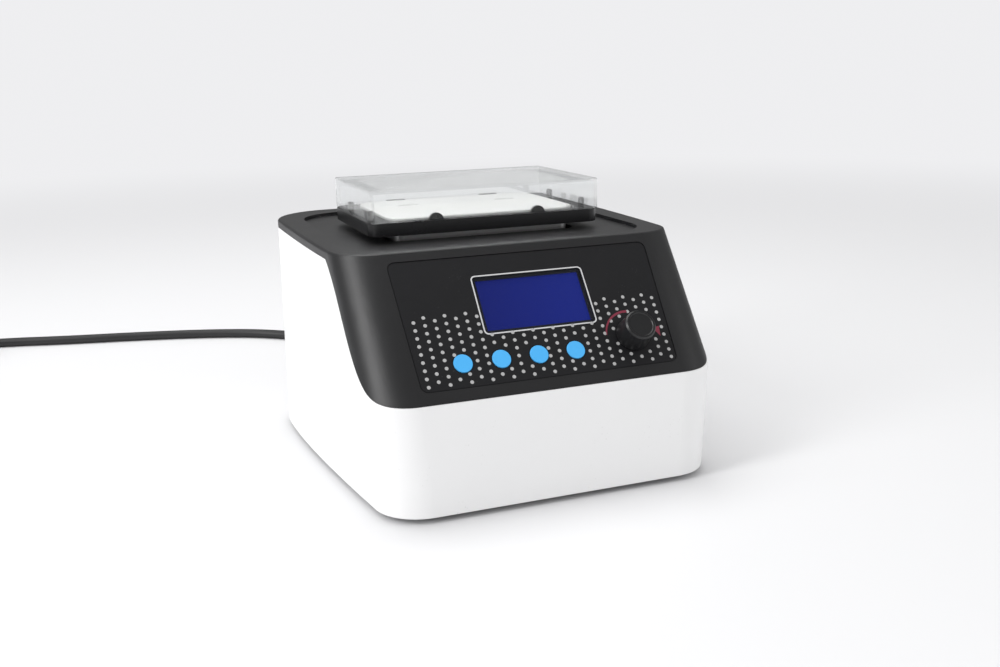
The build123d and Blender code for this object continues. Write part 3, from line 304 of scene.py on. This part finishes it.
def white_shell():
    f = Finish("white_shell")
    white, paler = (0.86, 0.86, 0.865), (0.89, 0.89, 0.89)
    dust_grey, dust_cover = (0.45, 0.44, 0.43), 0.25
    cloud = f.noise(scale=9.0, detail=3.0)
    specks = 1 - f.cells(scale=420.0).above(edge=0.16, width=0.08)
    near_floor = 1 - f.axis("Z").above(edge=0.05, width=0.09)
    dust = specks * near_floor * f.noise(scale=60.0).above(edge=0.62, width=0.1)
    tone = f.blend(cloud, white, paler)
    tone = f.blend(dust * dust_cover, tone, dust_grey)
    rough = uneven(least=0.3, spread=0.1, over=f.noise(scale=35.0, detail=4.0))
    grain = f.noise(scale=1400.0) + f.noise(scale=160.0) * 0.5
    surface = f.raised(grain, depth=0.00004, strength=0.6)
    return f.done(f.body(tone, rough, Normal=surface, Coat_Weight=0.15, Coat_Roughness=0.18))


def cover_black():
    f = Finish("cover_black")
    black, paler = (0.0065, 0.0065, 0.0075), (0.0095, 0.0095, 0.011)
    grain = f.cells(scale=2600.0)
    cloud = f.noise(scale=24.0, detail=3.0)
    tone = f.blend(cloud, black, paler)
    rough = uneven(least=uneven(least=0.33, spread=0.1, over=cloud), spread=0.08, over=grain)
    surface = f.raised(grain, depth=0.00006, strength=0.55)
    return f.done(f.body(tone, rough, Normal=surface, Specular_IOR_Level=0.62))


def panel_sheet():
    f = Finish("panel_sheet")
    black, paler = (0.0075, 0.0075, 0.0088), (0.0105, 0.0105, 0.0122)
    fleck_grey, fleck_cover = (0.3, 0.3, 0.3), 0.2
    specks = 1 - f.cells(scale=700.0).above(edge=0.10, width=0.06)
    flecks = specks * f.noise(scale=90.0).above(edge=0.6, width=0.08)
    tone = f.blend(f.noise(scale=50.0, detail=3.0), black, paler)
    tone = f.blend(flecks * fleck_cover, tone, fleck_grey)
    rough = uneven(least=0.46, spread=0.12, over=f.noise(scale=120.0, detail=3.0))
    surface = f.raised(f.cells(scale=3400.0), depth=0.00003, strength=0.5)
    return f.done(f.body(tone, rough, Normal=surface, Specular_IOR_Level=0.3))


def window_clear():
    f = Finish("window_clear")
    faint = 0.4
    fresnel = f.node("ShaderNodeFresnel", None, {"IOR": 1.48})
    clear = f.node("ShaderNodeBsdfTransparent", None, {"Color": (0.86, 0.88, 0.97, 1)})
    shine = f.node("ShaderNodeBsdfGlossy", None, {"Color": (1, 1, 1, 1), "Roughness": 0.03})
    return f.done(f.mixed(fresnel * faint, clear, shine))


def display_blue():
    f = Finish("display_blue")
    blue, paler = (0.001, 0.004, 0.06), (0.002, 0.007, 0.09)
    line_blue, line_cover = (0.001, 0.0015, 0.04), 0.12
    # The display glows blue, and its right-hand glow colour carries a painted reflection
    glow_left, glow_with_painted_reflection = (0.002, 0.009, 0.13), (0.004, 0.016, 0.20)
    tone = f.blend(f.noise(scale=18.0), blue, paler)
    lines = f.node("ShaderNodeTexWave", {"bands_direction": "X"}, {"Vector": f.where(), "Scale": 700.0})
    tone = f.blend(lines * line_cover, tone, line_blue)
    # Glow grows brighter towards the right: a painted reflection
    glow = f.blend(f.axis("X").above(edge=0.0, width=0.08), glow_left, glow_with_painted_reflection)
    return f.done(f.body(tone, 0.35, Emission_Color=glow, Emission_Strength=0.8, Specular_IOR_Level=0.2))


def moulded(name, colour, paler, rough, grain=1800.0, depth=0.00004, shine=0.5):
    f = Finish(name)
    cloud = f.noise(scale=40.0, detail=3.0)
    tone = f.blend(cloud, colour, paler)
    surface = f.raised(f.noise(grain), depth, strength=0.5)
    rough = uneven(rough, spread=0.08, over=cloud)
    return f.done(f.body(tone, rough, Normal=surface, Specular_IOR_Level=shine))


def machined(name, colour, rough, along, across=900.0):
    """Metal with fine lines along one axis, as close as the scale across it says."""
    f = Finish(name)
    scales = [12.0 if axis == along else across for axis in "XYZ"]
    place = f.node("ShaderNodeVectorMath", {"operation": "MULTIPLY"}, {0: f.where(), 1: scales})
    lines = f.noise(scale=1.0, detail=3.0, rough=0.6, place=place)
    tone = f.blend(lines, darker(colour, 0.88), colour)
    rough = uneven(rough, spread=0.14, over=lines)
    return f.done(f.body(tone, rough, Metallic=1.0, Normal=f.raised(lines, depth=0.00002, strength=0.3)))


def blasted_plate():
    f = Finish("blasted_plate")
    silver, paler = (0.60, 0.60, 0.59), (0.68, 0.68, 0.665)
    grit = f.noise(scale=1500.0, detail=3.0)
    tone = f.blend(f.noise(scale=14.0, detail=3.0), silver, paler)
    rough = uneven(least=0.45, spread=0.15, over=grit)
    return f.done(f.body(tone, rough, Metallic=0.4, Normal=f.raised(grit, depth=0.00005, strength=0.4)))


def circuit_green():
    f = Finish("circuit_green")
    green, paler = (0.012, 0.085, 0.035), (0.016, 0.11, 0.045)
    track_green, track_cover = (0.02, 0.15, 0.06), 0.5
    layout = {"Vector": f.where(), "Scale": 110.0, "Mortar Size": 0.02}
    tracks = f.node("ShaderNodeTexBrick", {"offset": 0.3}, layout)
    tone = f.blend(f.noise(scale=30.0), green, paler)
    tone = f.blend(tracks * track_cover, tone, track_green)
    return f.done(f.body(tone, 0.35, Normal=f.raised(tracks, depth=0.00003, strength=0.5)))


def clear_cover():
    f = Finish("clear_cover")
    straight_through = 0.72
    haze = f.noise(scale=30.0, detail=3.0).above(edge=0.55, width=0.4)
    rough = uneven(least=0.015, spread=0.03, over=haze)
    glass = f.body((0.985, 0.99, 0.99), rough, IOR=1.46, Transmission_Weight=1.0)
    open_to_lamps = f.node("ShaderNodeLightPath", out="Is Shadow Ray")
    clear = f.node("ShaderNodeBsdfTransparent", None, {"Color": (0.97, 0.975, 0.975, 1)})
    return f.done(f.mixed(open_to_lamps.most(straight_through), glass, clear))


def printed(name, colour):
    f = Finish(name)
    tone = f.blend(f.noise(scale=300.0), darker(colour, 0.85), colour)
    return f.done(f.body(tone, 0.5))


FINISHES = {
    "lower_housing": white_shell(),
    "top_cover": cover_black(),
    "control_overlay": panel_sheet(),
    "display_window": window_clear(),
    "display_panel": display_blue(),
}
frame_black = moulded("frame_black", (0.005, 0.005, 0.0055), (0.008, 0.008, 0.009), rough=0.22,
                      grain=1500.0, depth=0.00002, shine=0.4)
inner_black = moulded("inner_black", (0.012, 0.012, 0.012), (0.02, 0.02, 0.02), rough=0.45)
key_blue = moulded("key_blue", (0.055, 0.40, 0.83), (0.07, 0.44, 0.87), rough=0.38,
                   grain=2200.0, depth=0.00002)
knob_black = moulded("knob_black", (0.007, 0.007, 0.008), (0.011, 0.011, 0.012), rough=0.3,
                     grain=2400.0, depth=0.00003, shine=0.55)
post_black = moulded("post_black", (0.010, 0.010, 0.010), (0.016, 0.016, 0.016), rough=0.5)
foot_rubber = moulded("foot_rubber", (0.012, 0.012, 0.012), (0.022, 0.022, 0.022), rough=0.7,
                      grain=900.0, depth=0.00008)
lead_black = moulded("lead_black", (0.011, 0.011, 0.012), (0.018, 0.018, 0.019), rough=0.42,
                     grain=1600.0, depth=0.00003)
plug_black = moulded("plug_black", (0.012, 0.012, 0.013), (0.02, 0.02, 0.021), rough=0.5,
                     grain=1300.0, depth=0.00006)
part_black = moulded("part_black", (0.02, 0.02, 0.02), (0.03, 0.03, 0.03), rough=0.5)
chip_white = moulded("chip_white", (0.72, 0.72, 0.70), (0.8, 0.8, 0.78), rough=0.6)
turned_steel = machined("turned_steel", (0.56, 0.56, 0.57), rough=0.26, along="X")
sheet_steel = machined("sheet_steel", (0.50, 0.50, 0.51), rough=0.34, along="Y", across=500.0)
milled_aluminium = machined("milled_aluminium", (0.74, 0.74, 0.745), rough=0.3, along="X")
dark_aluminium = machined("dark_aluminium", (0.16, 0.165, 0.17), rough=0.38, along="Z")
pin_metal = machined("pin_metal", (0.72, 0.66, 0.50), rough=0.24, along="Y")
board_green = circuit_green()
for finish, names in (
    (clear_cover(), "clear_lid"),
    (frame_black, "block_frame"),
    (blasted_plate(), "block_plate"),
    (post_black, "front_stops rear_clips side_guides"),
    (key_blue, "button_program button_temperature button_time button_speed"),
    (knob_black, "knob"),
    (foot_rubber, "rubber_feet"),
    (plug_black, "cord_connector mains_plug"),
    (inner_black, "display_bezel fan_frame fan_rotor power_inlet switch_frame power_rocker fuse_drawer"),
    (part_black, "key_switches power_transformer power_capacitors"),
    (chip_white, "peltier_modules"),
    (turned_steel, "eccentric_shaft motor_bearings table_bearing idler_left idler_right idler_rear "
                   "encoder_body encoder_rotor encoder_shaft base_screws drive_pillars table_pillars"),
    (sheet_steel, "base_plate drive_plate counterweight"),
    (milled_aluminium, "moving_table heat_sink thermal_base"),
    (dark_aluminium, "drive_motor driver_heat_sink"),
    (pin_metal, "inlet_pins plug_pins board_spacers"),
    (board_green, "control_board main_board power_board"),
):
    FINISHES.update(dict.fromkeys(names.split(), finish))
for name, finish in FINISHES.items():
    for slot in nodes[name].material_slots:
        slot.material = finish
mains_lead.data.materials.append(lead_black)
coil_tie.data.materials.append(foot_rubber)

# Print on the control panel, on a plane that slopes with it from its foot to its head
PANEL_FOOT, PANEL_HEAD = (-126.4, 63.5), (-69.4, 133.3)
SLOPE = atan2(PANEL_HEAD[1] - PANEL_FOOT[1], PANEL_HEAD[0] - PANEL_FOOT[0])
UP_SLOPE = Vector((0, cos(SLOPE), sin(SLOPE)))
PANEL_NORMAL = Vector((0, -sin(SLOPE), cos(SLOPE)))
SHEET_INSET = 6.2
SHEET_HEAD = Vector((0, *PANEL_HEAD)) - UP_SLOPE * SHEET_INSET
# How far the print's underside and its top lie below that plane
PRINT_UNDER, PRINT_TOP = 0.32, 0.25


def on_panel(x, down, depth):
    return (SHEET_HEAD + Vector((x, 0, 0)) - UP_SLOPE * down - PANEL_NORMAL * depth) * MM


def print_shape(mesh, outline, hole=None):
    """Adds one printed shape, an outline with an optional hole of as many points, to the mesh."""
    rings = [[mesh.verts.new(on_panel(x, down, depth)) for x, down in ring]
             for ring in ([outline] if hole is None else [outline, hole])
             for depth in (PRINT_TOP, PRINT_UNDER)]
    top, under = rings[:2]
    if hole is None:
        mesh.faces.new(top)
        mesh.faces.new(under[::-1])
    for i in range(len(outline)):
        j = (i + 1) % len(outline)
        mesh.faces.new((top[j], top[i], under[i], under[j]))
        if hole is not None:
            hole_top, hole_under = rings[2:]
            mesh.faces.new((hole_top[i], hole_top[j], hole_under[j], hole_under[i]))
            mesh.faces.new((top[i], top[j], hole_top[j], hole_top[i]))
            mesh.faces.new((under[j], under[i], hole_under[i], hole_under[j]))


def add_print(name, shapes, finish):
    mesh = bmesh.new()
    for shape in shapes:
        print_shape(mesh, *shape)
    bmesh.ops.recalc_face_normals(mesh, faces=mesh.faces)
    piece = add_mesh(name, mesh)
    piece.data.materials.append(finish)
    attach(piece, "housing")


def disc(x, down, radius, sides=16):
    turns = [2 * pi * i / sides for i in range(sides)]
    return [(x + radius * cos(angle), down - radius * sin(angle)) for angle in turns]


def rounded(left, right, top, bottom, radius):
    corners = ((right - radius, top + radius, 0), (left + radius, top + radius, 90),
               (left + radius, bottom - radius, 180), (right - radius, bottom - radius, 270))
    return [(x + radius * cos(angle), down - radius * sin(angle))
            for x, down, first in corners for angle in quarter(first)]


DOT_RADIUS = 1.03
DOT_COLUMNS, FIRST_COLUMN, COLUMN_PITCH = range(25), -70.09, 5.886
DOT_ROWS, FIRST_ROW, ROW_PITCH = range(-1, 17), 36.47, 2.33
DISPLAY_COLUMNS, DISPLAY_ROWS = range(7, 18), range(-1, 5)
BUTTON_XS, BUTTON_DOWN = (-48.9, -27.3, -5.7, 15.9), 62.8
KNOB = (51.5, 58.2)
BARE_BY_BUTTON, BARE_BY_KNOB = 6.4, 10.2


def dot_places():
    for column in DOT_COLUMNS:
        for row in DOT_ROWS:
            x, down = FIRST_COLUMN + COLUMN_PITCH * column, FIRST_ROW + ROW_PITCH * row
            if (column + row) % 2 or (column in DISPLAY_COLUMNS and row in DISPLAY_ROWS):
                continue
            if any((x - b) ** 2 + (down - BUTTON_DOWN) ** 2 < BARE_BY_BUTTON**2 for b in BUTTON_XS):
                continue
            if (x - KNOB[0]) ** 2 + (down - KNOB[1]) ** 2 < BARE_BY_KNOB**2:
                continue
            yield x, down


def arrow_band(start, end, radius, thin, thick, steps=24):
    """A band round the knob that swells from thin to thick, angles in degrees from the right, upwards."""
    out, back = [], []
    for i in range(steps + 1):
        angle = radians(start + (end - start) * i / steps)
        half = (thin + (thick - thin) * i / steps) / 2
        out.append((KNOB[0] + (radius + half) * cos(angle), KNOB[1] - (radius + half) * sin(angle)))
        back.append((KNOB[0] + (radius - half) * cos(angle), KNOB[1] - (radius - half) * sin(angle)))
    return out + back[::-1]


def arrow_head(angle, radius, length, width):
    a = radians(angle)
    centre = Vector((KNOB[0] + radius * cos(a), KNOB[1] - radius * sin(a)))
    ahead, aside = Vector((sin(a), cos(a))), Vector((cos(a), -sin(a)))
    corners = (centre + ahead * length, centre - aside * width / 2, centre + aside * width / 2)
    return [tuple(corner) for corner in corners]


dot_grey = printed("dot_grey", (0.44, 0.44, 0.44))
line_grey = printed("line_grey", (0.62, 0.62, 0.63))
arrow_red = printed("arrow_red", (0.24, 0.022, 0.05))
line_outside = rounded(left=-32.9, right=33.7, top=12.05, bottom=48.0, radius=2.6)
line_inside = rounded(left=-32.15, right=32.95, top=12.8, bottom=47.25, radius=1.9)
tail = arrow_band(start=172, end=84, radius=15.0, thin=0.8, thick=1.5)
head = arrow_head(angle=12, radius=16.4, length=6.0, width=4.6)
add_print("panel_dots", [(disc(x, down, DOT_RADIUS),) for x, down in dot_places()], dot_grey)
add_print("display_outline", [(line_outside, line_inside)], line_grey)
add_print("turn_arrow", [(tail,), (head,)], arrow_red)

# Table, background and lamps
BACKDROP, WHITE = (0.86, 0.86, 0.875, 1), (1, 1, 1, 1)
MATT_ROOM, GLOSS_ROOM = 0.7, 0.3


def lay_table():
    mesh = bmesh.new()
    bmesh.ops.create_circle(mesh, cap_ends=True, radius=6.0, segments=96)
    table = add_mesh("table_top", mesh)
    f = Finish("pale_table")
    away = f.node("ShaderNodeVectorMath", {"operation": "LENGTH"}, {0: f.where()}, out="Value")
    pale = f.body((0.77, 0.77, 0.78), 0.5)
    far = f.node("ShaderNodeEmission", None, {"Color": BACKDROP, "Strength": 1.0})
    table.data.materials.append(f.done(f.mixed(away.above(edge=1.2, width=1.8), pale, far)))


def light_room():
    """The room as the camera sees it, as gloss mirrors it, and as it lights matt surfaces."""
    f = Finish("studio", kept_in=bpy.data.worlds)
    bpy.context.scene.world = f.owner

    def glow(colour, strength):
        return f.node("ShaderNodeBackground", None, {"Color": colour, "Strength": strength})

    def seen_by(ray, others, glow_seen):
        return f.mixed(f.node("ShaderNodeLightPath", out=ray), others, glow_seen)

    room = seen_by("Is Glossy Ray", glow(WHITE, MATT_ROOM), glow(WHITE, GLOSS_ROOM))
    room = seen_by("Is Transmission Ray", room, glow(BACKDROP, 1.0))
    room = seen_by("Is Camera Ray", room, glow(BACKDROP, 1.0))
    f.node("ShaderNodeOutputWorld", None, {"Surface": room})


def hang_lamp(name, place, aim, size, power):
    data = bpy.data.lights.new(name, "AREA")
    data.shape = "RECTANGLE"
    data.size, data.size_y = size
    data.energy = power
    lamp = add_object(name, data)
    lamp.location = place
    lamp.rotation_euler = (Vector(aim) - Vector(place)).to_track_quat("-Z", "Y").to_euler()


lay_table()
light_room()
hang_lamp("overhead_softbox", place=(-0.1, 0.5, 1.5), aim=(0, 0, 0.1), size=(1.4, 1.0), power=12.5)
hang_lamp("left_softbox", place=(-1.5, -0.35, 1.0), aim=(-0.1, -0.1, 0.1), size=(0.45, 1.4), power=17)
hang_lamp("right_softbox", place=(1.6, -0.9, 0.7), aim=(0, 0, 0.08), size=(0.5, 1.0), power=4)

bpy.context.scene.view_settings.view_transform = "Standard"
